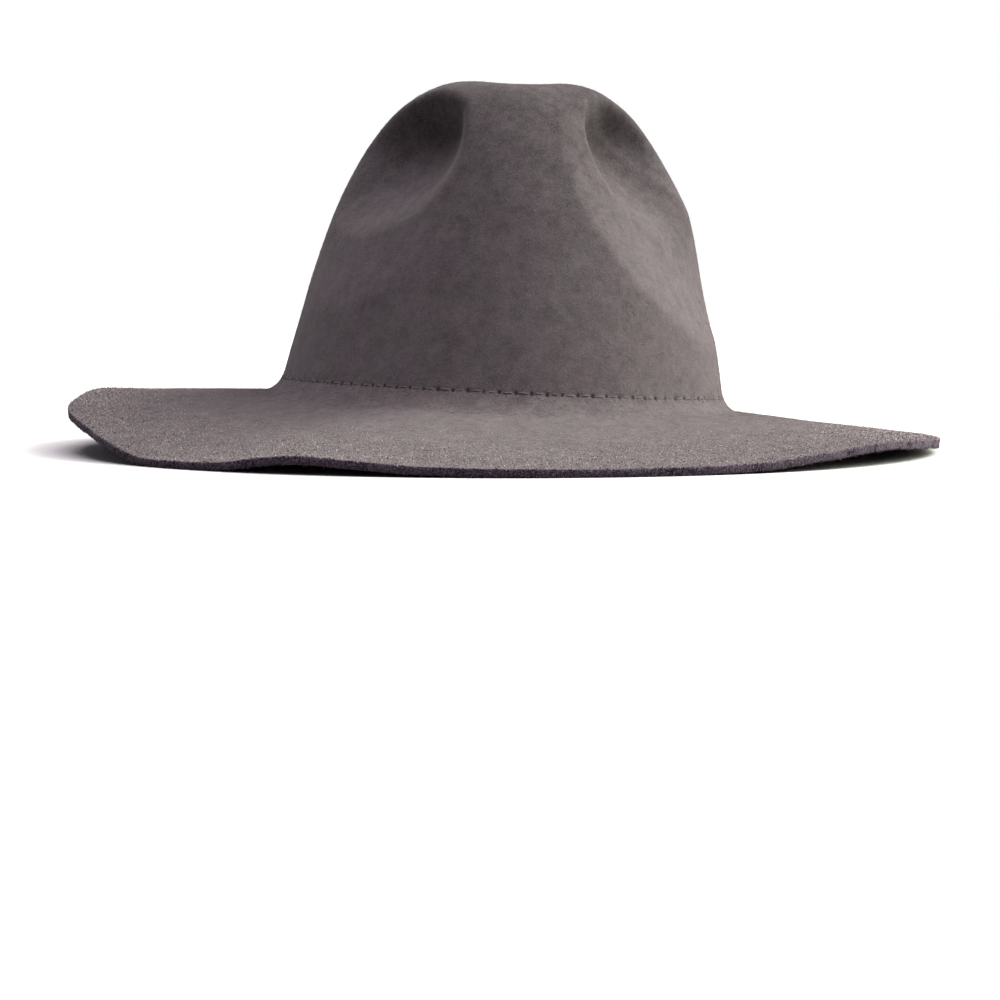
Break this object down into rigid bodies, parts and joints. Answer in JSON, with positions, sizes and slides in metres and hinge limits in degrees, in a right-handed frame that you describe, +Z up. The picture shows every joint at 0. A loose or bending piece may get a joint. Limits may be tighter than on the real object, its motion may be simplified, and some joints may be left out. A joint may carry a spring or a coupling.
{
  "type": "wide-brim fedora hat",
  "caption": "Unlined felt hat blocked in one piece: tall crown with front side pinches and a short top crease, wavy raw-edged brim, ribbon sweatband inside.",
  "frame": {"origin": "on the surface that the hat rests on, under the middle of the brim's outline", "axes": "+Z up through the crown, +Y to the back of the hat, the front faces -Y, +X to the wearer's left"},
  "size_m": [0.3478, 0.386, 0.1453],
  "materials": {
    "felt": "matt heathered wool felt, dark warm grey with a slight purple cast, fuzzy raw edge",
    "ribbon": "ribbed grosgrain ribbon, charcoal"
  },
  "bodies": {
    "root": {"felt_body": "felt", "sweatband": "ribbon"}
  },
  "joints": []
}
